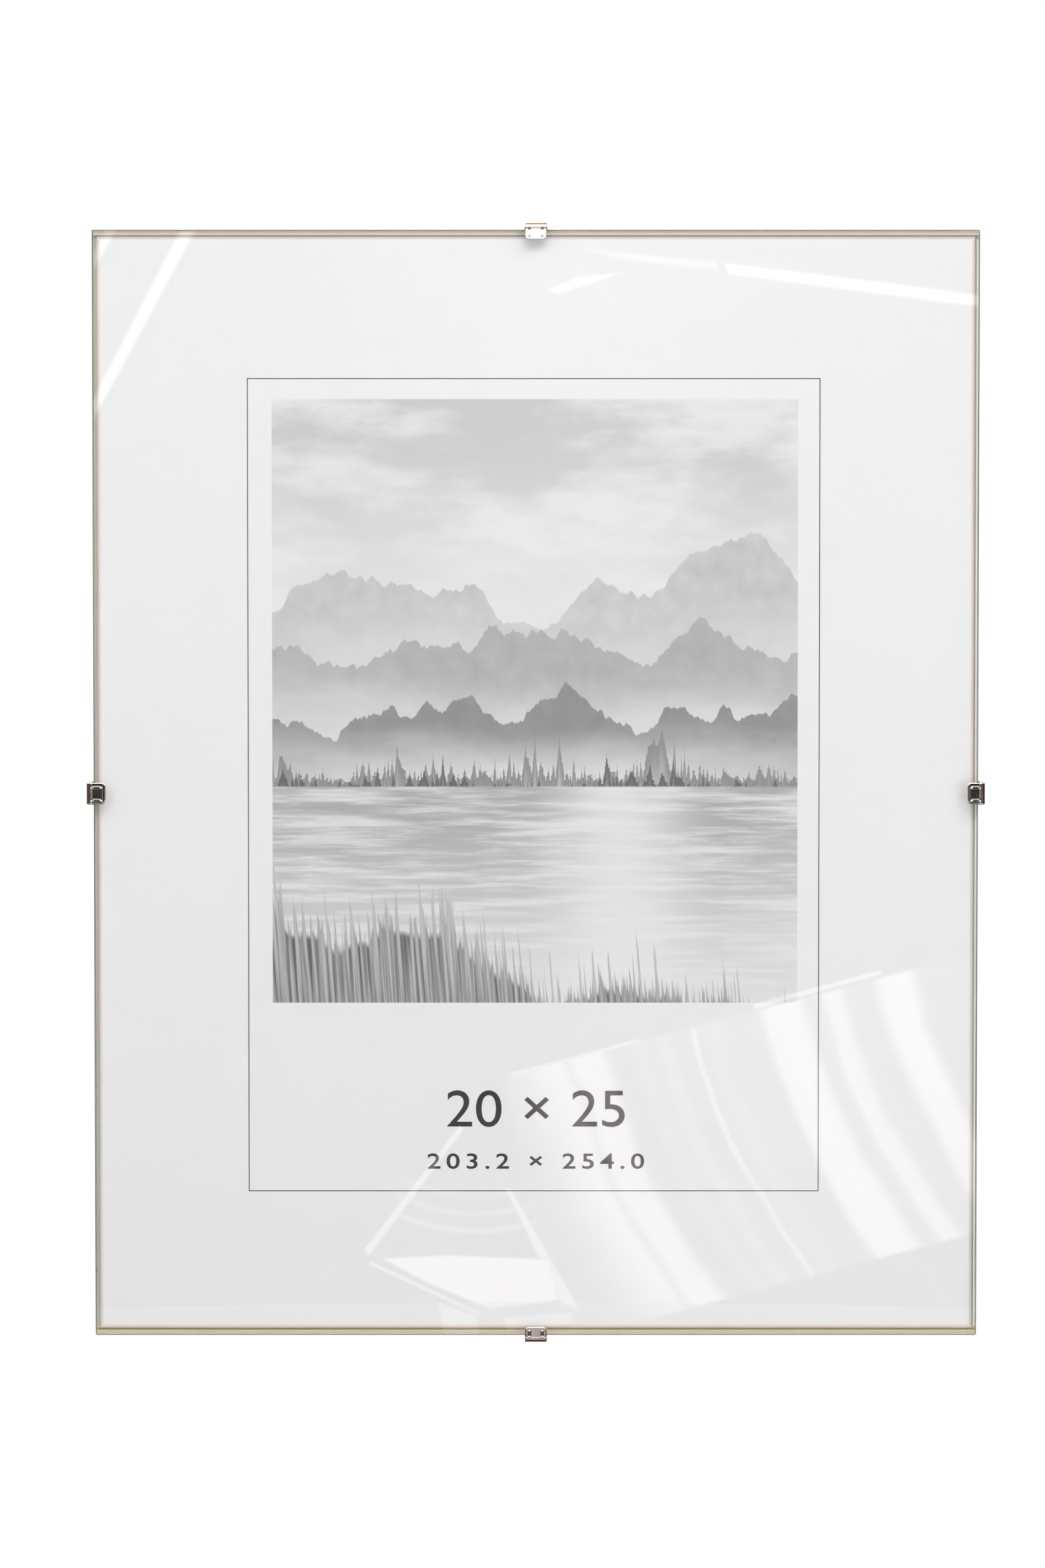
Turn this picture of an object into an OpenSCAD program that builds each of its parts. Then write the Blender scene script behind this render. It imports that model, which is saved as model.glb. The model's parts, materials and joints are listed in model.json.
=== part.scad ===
// Frameless clip frame, hung upright: +Z is up and the glass faces -Y.
// The origin lies on the axis of the portrait keyhole's round entry, and y = 0 is the board's back face.

/* [Panel] */
// Width of the glass and of the backing board
panel_w = 203.2; // [150:0.1:400]
// Height of the glass and of the backing board
panel_h = 254; // [180:0.1:500]

/* [Glass] */
// Thickness of the glass
glass_t = 2; // [1.5:0.1:4]
// Width of the arris ground along every edge of the glass
arris = 0.25; // [0.1:0.05:0.6]

/* [Insert] */
// Thickness of the printed insert
insert_t = 0.25; // [0.1:0.05:1]
// How far the insert stops short of the left and right edges
insert_side_margin = 1; // [0.2:0.1:4]
// How far the insert stops short of the top and bottom edges
insert_end_margin = 1.5; // [0.2:0.1:4]

/* [Backing board] */
// Thickness of the hardboard
board_t = 3; // [2.5:0.1:5]
// Corner radius of the slots punched for the clips
slot_corner_r = 0.8; // [0.3:0.1:1.2]

/* [Clips] */
// Thickness of the spring steel strip
clip_t = 0.45; // [0.3:0.05:0.8]
// Width of the nose that laps the glass
nose_w = 5; // [4:0.1:8]
// How far the nose laps the glass
nose_lap = 2.8; // [2:0.1:5]
// Radius of the nose's two free corners
nose_corner_r = 0.9; // [0.3:0.1:1.5]
// How far the nose leans off the glass between its heel and its outer bend
nose_lean = 0.35; // [0.1:0.05:0.8]
// Length of the curled tip, from the heel to the end of the nose
tip_len = 0.6; // [0.4:0.1:1]
// Angle at which the tip curls away from the glass
tip_angle = 18; // [5:1:40]
// Radius of the two stiffening beads on the nose
bead_r = 0.22; // [0.1:0.02:0.3]
// Distance between the two beads
bead_spacing = 2.9; // [2:0.1:3.6]
// Space between the edge of the glass and the wall of the clip
wall_gap = 1.15; // [0.8:0.05:2.5]
// Width of the arm behind the board
arm_w = 7.4; // [6:0.1:12]
// Distance from the panel's edge to where the arm has its full width
arm_taper = 2.2; // [1:0.1:5]
// Height of the arm's crown over the board's back face
crown_rise = 3; // [2:0.1:4]
// Distance from the panel's edge to the arm's crown
crown_inset = 6.5; // [5:0.1:8]
// Distance from the panel's edge to the hook leg
hook_inset = 13; // [11:0.1:20]
// Width of the hook leg
leg_w = 4; // [2.5:0.1:4.5]
// How deep the hook leg reaches into the board
leg_depth = 2.2; // [1.2:0.1:2.4]
// Clearance between a clip and the faces that it slides over
clip_gap = 0.1; // [0.05:0.01:0.2]
// Clearance round the hook leg in its slot
slot_gap = 0.4; // [0.2:0.05:0.8]
// How far past the edge of the glass a nose slides to free it
release_gap = 0.7; // [0.3:0.1:1.5]
// How far below mid-height the two side clips sit
side_clip_drop = 2; // [0:0.5:6]

/* [Hanger plates] */
// Thickness of a keyhole plate
plate_t = 1; // [0.6:0.1:2]
// Width of a keyhole plate, across its slot
plate_w = 36; // [32:0.5:50]
// Corner radius of a keyhole plate
plate_corner_r = 4; // [1:0.5:6]
// Radius of the round entry that a screw head passes
entry_r = 4; // [3.5:0.1:5]
// Width of the slot for the screw's neck
neck_w = 4.4; // [3.5:0.1:5]
// Rise from the entry's centre to the seat of the neck
neck_rise = 7; // [5:0.5:12]
// Room round the screw head in the board, beyond the entry's radius
pocket_gap = 1; // [0.5:0.1:2]
// How far a plate laps the board beyond the pocket
plate_lap = 2.5; // [2:0.1:6]
// Space between the end of a clip and the plate below it
hanger_gap = 6.5; // [3:0.5:30]

/* [Rivets] */
// Radius of a rivet's shank
rivet_r = 1.5; // [1:0.1:2]
// Radius of a rivet's domed head
rivet_head_r = 2.75; // [2.3:0.05:3.5]
// Height of a rivet's domed head
rivet_head_t = 0.9; // [0.5:0.1:1.5]
// How far a rivet's tail spreads past its shank
tail_flare = 1.1; // [0.5:0.1:1.3]
// Distance from a plate's end to its rivet
rivet_inset = 5; // [4.5:0.1:6]
// Clearance round a rivet
rivet_gap = 0.05; // [0.02:0.01:0.1]

/* [Hidden] */
$fn = 48;
cut = 1; // overshoot of a cut past a face
join = 0.2; // overlap of shapes that are joined into one
bend_steps = 8; // flats in each bend of the strip

// The stack, from the board's back face forwards
insert_back_y = -board_t;
glass_back_y = insert_back_y - insert_t;
glass_front_y = glass_back_y - glass_t;

// A keyhole plate, measured upwards from the centre of its entry
pocket_r = entry_r + pocket_gap;
plate_top = neck_rise + pocket_r + plate_lap;
plate_bottom = -pocket_r - plate_lap;
rivet_x = plate_w / 2 - rivet_inset;
rivet_z = neck_rise / 2;

// The entry's distance from the panel's edge, and with it the middle of the panel
hanger_inset = hook_inset + hanger_gap + plate_top;
panel_z = hanger_inset - panel_h / 2;

// Where a clip slides to when it is released
clip_travel = nose_lap + release_gap;

// Middle line of a clip's strip, seen from the side as [y, u], with the radius of each bend.
// u runs outwards from the panel's edge.
heel_u = -nose_lap + tip_len;
heel_y = glass_front_y - clip_gap - clip_t / 2;
wall_u = wall_gap + clip_t / 2;
hook_y = clip_gap + clip_t / 2;
back_corner_y = 1.2; // where the wall would meet the arm if they weren't rounded into each other
back_bend_r = 1.2;
nose_bend_r = 0.9;
crown_bend_r = 7;
hook_bend_r = 0.6;
clip_line = [
    [heel_y - (tip_len + clip_t) * tan(tip_angle), -nose_lap - clip_t, 0],
    [heel_y, heel_u, nose_bend_r],
    [heel_y - nose_lean, wall_u, nose_bend_r],
    [back_corner_y, wall_u, back_bend_r],
    [crown_rise, -crown_inset, crown_bend_r],
    [hook_y, -hook_inset, hook_bend_r],
    [-leg_depth, -hook_inset, 0]
];
clip_front_y = min([for (p = clip_line) p[0]]) - clip_t;
clip_back_y = crown_rise + clip_t;
clip_outer_u = wall_u + clip_t;
clip_inner_u = -hook_inset - clip_t;

function unit(v) = v / norm(v);
function turned(v, a) = [v.x * cos(a) - v.y * sin(a), v.x * sin(a) + v.y * cos(a)];

// Points of the bend of radius r at corner b, between a and c, moved to the left of the line by off
function bend(a, b, c, r, off) =
    let (
        to_a = unit(a - b),
        to_c = unit(c - b),
        half = acos(to_a * to_c) / 2,
        centre = b + unit(to_a + to_c) * r / sin(half),
        start = b + to_a * r / tan(half) - centre,
        side = sign(to_a.y * to_c.x - to_a.x * to_c.y)
    )
    [for (i = [0:bend_steps])
        centre + turned(start, side * i * (180 - 2 * half) / bend_steps) * (r - side * off) / r];

// The end b of a line that comes from a, moved to the left of the line by off
function line_end(a, b, off) = b + turned(unit(b - a), 90) * off;

// A line of [x, y, bend radius], moved to its left by off
function moved_line(line, off) =
    let (p = [for (q = line) [q[0], q[1]]], last = len(p) - 1)
    concat(
        [line_end(p[1], p[0], -off)],
        [for (i = [1:last - 1]) each bend(p[i - 1], p[i], p[i + 1], line[i][2], off)],
        [line_end(p[last - 1], p[last], off)]
    );

function reversed(list) = [for (i = [len(list) - 1:-1:0]) list[i]];

// Outline of a strip of thickness t along a line
function strip_outline(line, t) = concat(moved_line(line, t / 2), reversed(moved_line(line, -t / 2)));

// Everything that is placed from the middle of the panel
module on_panel() {
    translate([0, 0, panel_z]) children();
}

// A flat shape drawn as seen from the front, made solid from y = front to y = back
module upright(front, back) {
    translate([0, back, 0]) rotate([90, 0, 0]) linear_extrude(back - front) children();
}

module rounded_rect(w, h, r) {
    square([w - 2 * r, h], center = true);
    square([w, h - 2 * r], center = true);
    for (x = [-1, 1], y = [-1, 1])
        translate([x * (w / 2 - r), y * (h / 2 - r)]) circle(r);
}

// A rectangle with its corners cut off by c
module chamfered_rect(w, h, c) {
    polygon([
        [-w / 2 + c, -h / 2], [w / 2 - c, -h / 2], [w / 2, -h / 2 + c], [w / 2, h / 2 - c],
        [w / 2 - c, h / 2], [-w / 2 + c, h / 2], [-w / 2, h / 2 - c], [-w / 2, -h / 2 + c]
    ]);
}

// A rectangle from one height to another, centred across
module band(w, low, high) {
    translate([-w / 2, low]) square([w, high - low]);
}

// A slot with round ends, whose centres lie at 0 and at rise
module round_slot(w, rise) {
    band(w, 0, rise);
    for (end = [0, rise]) translate([0, end]) circle(w / 2);
}

module glass_panel() {
    color([0.80, 0.90, 0.87, 0.35])
        on_panel()
            translate([0, (glass_front_y + glass_back_y) / 2, 0])
                intersection() {
                    rotate([90, 0, 0])
                        linear_extrude(glass_t, center = true) chamfered_rect(panel_w, panel_h, arris);
                    linear_extrude(panel_h, center = true) chamfered_rect(panel_w, glass_t, arris);
                    rotate([0, 90, 0])
                        linear_extrude(panel_w, center = true) chamfered_rect(panel_h, glass_t, arris);
                }
}

module insert_sheet() {
    color([0.94, 0.94, 0.94])
        on_panel()
            translate([0, (insert_back_y + glass_back_y) / 2, 0])
                cube([
                    panel_w - 2 * insert_side_margin,
                    insert_t,
                    panel_h - 2 * insert_end_margin
                ], center = true);
}

// Puts its children at one edge of the panel, with z = 0 on the edge and +z outwards
module at_edge(side) {
    on_panel() {
        if (side == "top") translate([0, 0, panel_h / 2]) children();
        if (side == "bottom") rotate([0, 180, 0]) translate([0, 0, panel_h / 2]) children();
        if (side == "left")
            translate([-panel_w / 2, 0, -side_clip_drop]) rotate([0, -90, 0]) children();
        if (side == "right")
            translate([panel_w / 2, 0, -side_clip_drop]) rotate([0, 90, 0]) children();
    }
}

// Puts its children at a keyhole's entry, with +z towards the edge that hangs uppermost
module at_hanger(way) {
    if (way == "portrait") children();
    if (way == "landscape")
        on_panel() translate([hanger_inset - panel_w / 2, 0, 0]) rotate([0, -90, 0]) children();
}

// The slot that a clip's hook leg slides along
module clip_slot() {
    low = -hook_inset - clip_t / 2 - slot_gap;
    high = -hook_inset + clip_travel + clip_t / 2 + slot_gap;
    upright(-board_t - cut, cut)
        translate([0, (low + high) / 2])
            rounded_rect(leg_w + 2 * slot_gap, high - low, slot_corner_r);
}

// A rivet's shank and the tail that is spread into the board, wider all round by gap
module rivet_core(gap, overshoot) {
    rotate([90, 0, 0]) {
        translate([0, 0, -plate_t - overshoot])
            cylinder(h = plate_t + board_t + 2 * overshoot, r = rivet_r + gap);
        translate([0, 0, board_t - tail_flare])
            cylinder(h = tail_flare, r1 = rivet_r + gap, r2 = rivet_r + gap + tail_flare);
    }
}

module at_rivets() {
    for (side = [-1, 1]) translate([side * rivet_x, 0, rivet_z]) children();
}

// The room for the screw's head, and the holes for the rivets
module hanger_cuts() {
    upright(-board_t - cut, cut) round_slot(2 * pocket_r, neck_rise);
    at_rivets() rivet_core(rivet_gap, cut);
}

module backing_board() {
    color([0.46, 0.33, 0.20])
        difference() {
            on_panel()
                translate([0, -board_t / 2, 0]) cube([panel_w, board_t, panel_h], center = true);
            for (side = ["top", "bottom", "left", "right"]) at_edge(side) clip_slot();
            for (way = ["portrait", "landscape"]) at_hanger(way) hanger_cuts();
        }
}

// The nose and the wall as seen from the front
module nose_plan() {
    high = clip_outer_u + nose_corner_r;
    translate([0, (high - nose_lap) / 2]) rounded_rect(nose_w, high + nose_lap, nose_corner_r);
}

// The arm as seen from behind: it widens from the wall, and narrows to the hook leg
module arm_plan() {
    arm_end = clip_inner_u + (arm_w - leg_w) / 2;
    half_plan = [
        [nose_w / 2, clip_outer_u], [nose_w / 2, wall_gap], [arm_w / 2, -arm_taper],
        [arm_w / 2, arm_end], [leg_w / 2, clip_inner_u]
    ];
    polygon(concat(half_plan, reversed([for (p = half_plan) [-p.x, p.y]])));
}

// A bead along the outside of the nose, from its heel to its outer bend
module bead() {
    lean = atan2(nose_lean, wall_u - heel_u);
    length = wall_u - heel_u - nose_bend_r;
    translate([0, heel_y - clip_t / 2, heel_u])
        rotate([lean, 0, 0]) {
            cylinder(h = length, r = bead_r);
            for (end = [0, length]) translate([0, 0, end]) sphere(bead_r);
        }
}

module clip() {
    color([0.78, 0.78, 0.77]) {
        intersection() {
            rotate([90, 0, 90])
                linear_extrude(arm_w, center = true) polygon(strip_outline(clip_line, clip_t));
            union() {
                upright(clip_front_y, clip_gap + join) nose_plan();
                upright(clip_gap, clip_back_y) arm_plan();
                upright(-leg_depth - cut, clip_gap + join)
                    band(leg_w, clip_inner_u, -hook_inset + clip_t);
            }
        }
        for (side = [-1, 1]) translate([side * bead_spacing / 2, 0, 0]) bead();
    }
}

module clip_top() { at_edge("top") clip(); }
module clip_bottom() { at_edge("bottom") clip(); }
module clip_left() { at_edge("left") clip(); }
module clip_right() { at_edge("right") clip(); }

module keyhole_plan() {
    circle(entry_r);
    round_slot(neck_w, neck_rise);
}

module hanger_plate() {
    color([0.80, 0.78, 0.70])
        difference() {
            upright(0, plate_t)
                difference() {
                    translate([0, (plate_top + plate_bottom) / 2])
                        rounded_rect(plate_w, plate_top - plate_bottom, plate_corner_r);
                    keyhole_plan();
                }
            at_rivets() rivet_core(rivet_gap, cut);
        }
}

module hanger_plate_portrait() { at_hanger("portrait") hanger_plate(); }
module hanger_plate_landscape() { at_hanger("landscape") hanger_plate(); }

// One rivet of a plate, on the side -1 or 1 of its slot
module rivet(side) {
    dome_r = (pow(rivet_head_t, 2) + pow(rivet_head_r, 2)) / (2 * rivet_head_t);
    color([0.72, 0.72, 0.71])
        translate([side * rivet_x, 0, rivet_z]) {
            rivet_core(0, 0);
            translate([0, plate_t, 0])
                rotate([-90, 0, 0])
                    intersection() {
                        cylinder(h = rivet_head_t, r = rivet_head_r);
                        translate([0, 0, rivet_head_t - dome_r]) sphere(dome_r);
                    }
        }
}

module rivet_portrait_left() { at_hanger("portrait") rivet(-1); }
module rivet_portrait_right() { at_hanger("portrait") rivet(1); }
module rivet_landscape_upper() { at_hanger("landscape") rivet(1); }
module rivet_landscape_lower() { at_hanger("landscape") rivet(-1); }

glass_panel();
insert_sheet();
backing_board();
clip_top();
clip_bottom();
clip_left();
clip_right();
hanger_plate_portrait();
hanger_plate_landscape();
rivet_portrait_left();
rivet_portrait_right();
rivet_landscape_upper();
rivet_landscape_lower();
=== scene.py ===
# %% [markdown]
# A frameless clip frame, 8 by 10 inches.
# A sheet of glass, a printed insert and a hardboard back are held together by four spring clips,
# and two keyhole plates are riveted over cut-outs in the board, one for each way to hang it.
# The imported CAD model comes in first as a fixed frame: its solids carry the sizes and the joints,
# and everything below only gives them their finish, or puts a finer piece in their place.
# Up is +Z, the glass faces -Y, and lengths are in metres, so MM turns millimetres into them.

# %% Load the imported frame
import json
import math
import bpy
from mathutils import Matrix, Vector


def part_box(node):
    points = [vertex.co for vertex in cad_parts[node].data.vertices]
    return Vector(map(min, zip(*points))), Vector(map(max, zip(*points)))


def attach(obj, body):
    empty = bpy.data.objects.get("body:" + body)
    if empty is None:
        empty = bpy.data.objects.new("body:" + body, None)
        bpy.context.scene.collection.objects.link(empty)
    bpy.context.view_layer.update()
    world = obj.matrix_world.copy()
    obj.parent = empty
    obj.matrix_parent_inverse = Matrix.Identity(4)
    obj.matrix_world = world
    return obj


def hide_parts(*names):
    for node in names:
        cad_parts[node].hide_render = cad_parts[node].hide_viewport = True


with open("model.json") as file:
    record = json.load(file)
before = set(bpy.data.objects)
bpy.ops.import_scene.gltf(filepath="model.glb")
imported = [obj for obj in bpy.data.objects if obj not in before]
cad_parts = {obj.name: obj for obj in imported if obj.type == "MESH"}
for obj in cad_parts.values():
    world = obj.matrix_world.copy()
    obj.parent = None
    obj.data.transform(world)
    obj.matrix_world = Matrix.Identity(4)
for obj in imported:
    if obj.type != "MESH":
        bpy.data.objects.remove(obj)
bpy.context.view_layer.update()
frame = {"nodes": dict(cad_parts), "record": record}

MM = 0.001

# %% [markdown]
# The panel is the stack of glass, insert and board, and every size below starts from its box.
# Its front is the face of the glass, and its middle is where the camera aims.

# %% Measure the panel
glass_low, glass_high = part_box("glass_panel")
insert_low, insert_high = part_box("insert_sheet")
board_low, board_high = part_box("backing_board")
panel_w = board_high.x - board_low.x
panel_h = board_high.z - board_low.z
panel_middle = (board_low + board_high) / 2
panel_z = panel_middle.z
panel_half_w = panel_w / MM / 2
panel_half_h = panel_h / MM / 2
front_middle = Vector((panel_middle.x, glass_low.y, panel_z))
print("panel in mm:", round(panel_w / MM, 2), round(panel_h / MM, 2))

# %% [markdown]
# The photograph was taken from straight in front, about two degrees above the middle, because the
# panel's top edge is one hundredth longer in it than the bottom edge. The lens follows from the
# panel's height in pixels, and a small shift puts the panel where it lies in the picture. From
# above, the upper half looks larger than the lower one, and the shift makes up for that too.

# %% Set up the camera
PHOTO_W = 1568
PHOTO_H = 2352
PANEL_PX_HIGH = 1658
PANEL_PX_X = 804
PANEL_PX_Y = 1173.5
SENSOR = 36
camera_distance = 0.95
camera_rise = math.radians(2.0)

camera_place = front_middle + camera_distance * Vector((0, -math.cos(camera_rise), math.sin(camera_rise)))
bpy.ops.object.camera_add(location=camera_place, rotation=(math.pi / 2 - camera_rise, 0, 0))
camera = bpy.context.object
camera.name = "photo_camera"
seen_height = panel_h * math.cos(camera_rise)
camera.data.sensor_width = SENSOR
camera.data.lens = SENSOR * PANEL_PX_HIGH / PHOTO_H * camera_distance / seen_height
camera.data.shift_x = (PHOTO_W / 2 - PANEL_PX_X) / PHOTO_H
raised_by = PANEL_PX_HIGH / 2 * (panel_h / 2) * math.sin(camera_rise) / camera_distance
camera.data.shift_y = (PANEL_PX_Y + raised_by - PHOTO_H / 2) / PHOTO_H
bpy.context.scene.camera = camera
bpy.context.scene.view_settings.view_transform = "Standard"
print("lens in mm:", round(camera.data.lens, 1))

# %% [markdown]
# A finish is a small graph of nodes. These helpers add one node, do one sum or blend two colours,
# so that each material below reads as a recipe: a place on the piece goes in, a colour comes out.

# %% Helpers for node graphs
def new_material(name):
    made = bpy.data.materials.new(name)
    made.use_nodes = True
    return made


def feed(node, key, value):
    if isinstance(value, bpy.types.NodeSocket):
        node.id_data.links.new(value, node.inputs[key])
    else:
        node.inputs[key].default_value = value


def add_node(tree, kind, inputs=None, **settings):
    node = tree.nodes.new(kind)
    for key, value in settings.items():
        setattr(node, key, value)
    for key, value in (inputs or {}).items():
        feed(node, key, value)
    return node


def tree_of(*values):
    """The node tree of the first socket among some values, in which the next node goes."""
    return next(value.id_data for value in values if isinstance(value, bpy.types.NodeSocket))


def maths(operation, *values):
    inputs = dict(enumerate(values))
    return add_node(tree_of(*values), "ShaderNodeMath", inputs, operation=operation).outputs[0]


def times(first, *factors):
    for factor in factors:
        first = maths("MULTIPLY", first, factor)
    return first


def plus(first, second):
    return maths("ADD", first, second)


def minus(first, second):
    return maths("SUBTRACT", first, second)


def joined(x, y, z):
    return add_node(tree_of(x, y, z), "ShaderNodeCombineXYZ", {0: x, 1: y, 2: z}).outputs[0]


def split(vector):
    return add_node(vector.id_data, "ShaderNodeSeparateXYZ", {"Vector": vector}).outputs


def ramp_up(value, low, high, to_low=0.0, to_high=1.0):
    """Goes smoothly from to_low to to_high while value goes from low to high."""
    inputs = {"Value": value, "From Min": low, "From Max": high, "To Min": to_low, "To Max": to_high}
    node = add_node(value.id_data, "ShaderNodeMapRange", inputs, interpolation_type="SMOOTHSTEP")
    return node.outputs["Result"]


def mix_colour(share, first, second, blend="MIX"):
    node = add_node(tree_of(share, first, second), "ShaderNodeMix", data_type="RGBA", blend_type=blend)
    colour_a, colour_b = [s for s in node.inputs if s.type == "RGBA"]
    feed(node, 0, share)
    for socket, value in ((colour_a, first), (colour_b, second)):
        if isinstance(value, bpy.types.NodeSocket):
            node.id_data.links.new(value, socket)
        else:
            socket.default_value = (*value, 1)
    return [s for s in node.outputs if s.type == "RGBA"][0]


def colour_stops(value, stops):
    """A colour for each value: stops are pairs of a place from 0 to 1 and the colour there."""
    node = add_node(value.id_data, "ShaderNodeValToRGB", {"Fac": value})
    elements = node.color_ramp.elements
    elements.remove(elements[-1])
    elements[0].position = 0
    elements[0].color = (*stops[0][1], 1)
    for place, colour in stops[1:]:
        elements.new(place).color = (*colour, 1)
    return node.outputs["Color"]


# %% Helpers for patterns and places
def noise(vector, scale, detail=3.0, roughness=0.55):
    inputs = {"Vector": vector, "Scale": scale, "Detail": detail, "Roughness": roughness}
    return add_node(vector.id_data, "ShaderNodeTexNoise", inputs).outputs["Fac"]


def bump(height, distance, strength=1.0):
    inputs = {"Height": height, "Distance": distance, "Strength": strength}
    return add_node(height.id_data, "ShaderNodeBump", inputs).outputs["Normal"]


def panel_place(tree, stretch=(1, 1, 1)):
    """The place on the piece in millimetres from the middle of the panel, times stretch."""
    coordinates = add_node(tree, "ShaderNodeTexCoord").outputs["Object"]
    shift = [-middle / MM * s for middle, s in zip((panel_middle.x, 0, panel_z), stretch)]
    inputs = {"Vector": coordinates, "Location": shift, "Scale": [s / MM for s in stretch]}
    return add_node(tree, "ShaderNodeMapping", inputs).outputs["Vector"]


def depth_in(across, up, half_w, half_h):
    """How far a place lies inside a rectangle round the middle, less than nothing outside it."""
    side = minus(half_w, maths("ABSOLUTE", across))
    end = minus(half_h, maths("ABSOLUTE", up))
    return maths("MINIMUM", side, end)


def mix_shaders(share, first, second):
    inputs = {"Fac": share, 1: first.outputs[0], 2: second.outputs[0]}
    return add_node(share.id_data, "ShaderNodeMixShader", inputs)


def set_surface(tree, output, shader):
    tree.links.new(shader.outputs[0], tree.nodes[output].inputs["Surface"])


def principled(material):
    return material.node_tree.nodes["Principled BSDF"]


def set_finish(material, colour, roughness, normal=None):
    surface = principled(material)
    feed(surface, "Base Color", colour)
    feed(surface, "Roughness", roughness)
    if normal:
        feed(surface, "Normal", normal)


def wear_only(piece, material):
    piece.data.materials.clear()
    piece.data.materials.append(material)


# %% [markdown]
# Everything is modelled as by hand. Blender's operators act on what is selected, and the loaded
# frame comes in selected, so each piece starts by clearing the selection, and edit mode is entered
# with only the wanted edges, faces or points picked out by their place.

# %% Helpers for modelling
TINY = 0.001 * MM


def nothing_selected():
    bpy.ops.object.select_all(action="DESELECT")


def only(piece):
    nothing_selected()
    piece.select_set(True)
    bpy.context.view_layer.objects.active = piece


def pick_points(piece, wanted):
    """In edit mode, selects the points whose place passes the test, and what lies between them."""
    bpy.ops.mesh.select_mode(type="VERT")
    bpy.ops.mesh.select_all(action="DESELECT")
    bpy.ops.object.mode_set(mode="OBJECT")
    for point in piece.data.vertices:
        point.select = bool(wanted(point.co))
    bpy.ops.object.mode_set(mode="EDIT")


def apply_place(piece):
    only(piece)
    bpy.ops.object.transform_apply(location=True, rotation=True, scale=True)


def apply_modifier(piece, kind, **settings):
    only(piece)
    modifier = piece.modifiers.new(kind.lower(), kind)
    for key, value in settings.items():
        setattr(modifier, key, value)
    bpy.ops.object.modifier_apply(modifier=modifier.name)


def face_outwards(piece):
    only(piece)
    bpy.ops.object.mode_set(mode="EDIT")
    bpy.ops.mesh.select_all(action="SELECT")
    bpy.ops.mesh.normals_make_consistent(inside=False)
    bpy.ops.object.mode_set(mode="OBJECT")


def add_block(middle, size):
    """A plain box, from which a piece is worked."""
    nothing_selected()
    bpy.ops.mesh.primitive_cube_add(size=1, location=middle, scale=size)
    block = bpy.context.object
    apply_place(block)
    return block


def round_corners(block, radius, steps):
    """Rounds a box seen from the front, by its four edges that run from front to back."""
    bpy.ops.object.mode_set(mode="EDIT")
    bpy.ops.mesh.select_mode(type="EDGE")
    bpy.ops.mesh.select_all(action="DESELECT")
    bpy.ops.object.mode_set(mode="OBJECT")
    for edge in block.data.edges:
        first, last = (block.data.vertices[i].co for i in edge.vertices)
        edge.select = abs(first.y - last.y) > TINY
    bpy.ops.object.mode_set(mode="EDIT")
    bpy.ops.mesh.bevel(offset=radius, segments=steps, affect="EDGES")
    bpy.ops.object.mode_set(mode="OBJECT")


# %% Helpers for copies and finished pieces
def copy_of(piece):
    only(piece)
    bpy.ops.object.duplicate(linked=False)
    return bpy.context.object


def put_down(piece, place, turn):
    """Turns a piece as seen from the front and sets it down, then applies both."""
    piece.location = place
    piece.rotation_euler = (0, turn, 0)
    apply_place(piece)


def reach(piece):
    """The low and the high corner of a piece's points."""
    places = [point.co for point in piece.data.vertices]
    low = Vector([min(place[axis] for place in places) for axis in range(3)])
    high = Vector([max(place[axis] for place in places) for axis in range(3)])
    return low, high


def finish_piece(piece, name, body, slot, material, *nodes):
    """Names a piece, gives it its finish, hides the CAD parts that it stands in for, and hangs it on the
    body that carries it.
    """
    piece.name = name
    piece.data.name = name
    wear_only(piece, material)
    if nodes:
        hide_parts(*nodes)
    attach(piece, body)
    print(name, "has", len(piece.data.polygons), "faces")


# %% [markdown]
# The glass is 2 mm float glass. It is clear, a little green, and mirrors about a twelfth of what
# stands in front of it. Its edges are ground, so that they can be handled: frosted and greenish
# from the side. Near the front the arris is coloured an opaque dark brown, a thin dark line round
# the pane. Lamps shine through the pane onto the print: light on its way from a lamp meets plain
# transparency, which is the usual way to light what lies behind a pane.

# %% Finish the glass
ARRIS = 0.20
GLASS_IOR = 1.52
GROUND_GRAIN = 9.0

glass = new_material("float_glass")
tree = glass.node_tree
clear = principled(glass)
clear.inputs["Base Color"].default_value = (0.985, 0.992, 0.989, 1)
clear.inputs["Transmission Weight"].default_value = 1
clear.inputs["Roughness"].default_value = 0
clear.inputs["IOR"].default_value = GLASS_IOR

ground = add_node(tree, "ShaderNodeBsdfPrincipled")
grain = noise(panel_place(tree), GROUND_GRAIN)
feed(ground, "Roughness", ramp_up(grain, 0.3, 0.7, 0.35, 0.6))
ground.inputs["IOR"].default_value = GLASS_IOR

across, depth, up = split(panel_place(tree))
glass_front = glass_low.y / MM
# Near the front the arris is coloured an opaque dark brown: a thin dark line round the pane.
dark_near_front = ramp_up(depth, glass_front + 0.6, glass_front + 0.2)
frosted = mix_colour(grain, (0.45, 0.58, 0.52), (0.66, 0.76, 0.71))
dark_brown_arris = mix_colour(grain, (0.10, 0.078, 0.052), (0.26, 0.20, 0.14))
feed(ground, "Base Color", mix_colour(dark_near_front, frosted, dark_brown_arris))
feed(ground, "Transmission Weight", ramp_up(dark_near_front, 0.0, 1.0, 0.6, 0.0))
rim = depth_in(across, up, panel_half_w, panel_half_h)
on_arris = ramp_up(rim, ARRIS * 1.1, ARRIS * 0.9)
glass_body = mix_shaders(on_arris, clear, ground)
lamp_side = add_node(tree, "ShaderNodeBsdfTransparent", {"Color": (0.99, 0.995, 0.992, 1)})
to_lamp = add_node(tree, "ShaderNodeLightPath").outputs["Is Shadow Ray"]
set_surface(tree, "Material Output", mix_shaders(to_lamp, glass_body, lamp_side))

glass_piece = frame["nodes"]["glass_panel"]
wear_only(glass_piece, glass)
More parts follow.
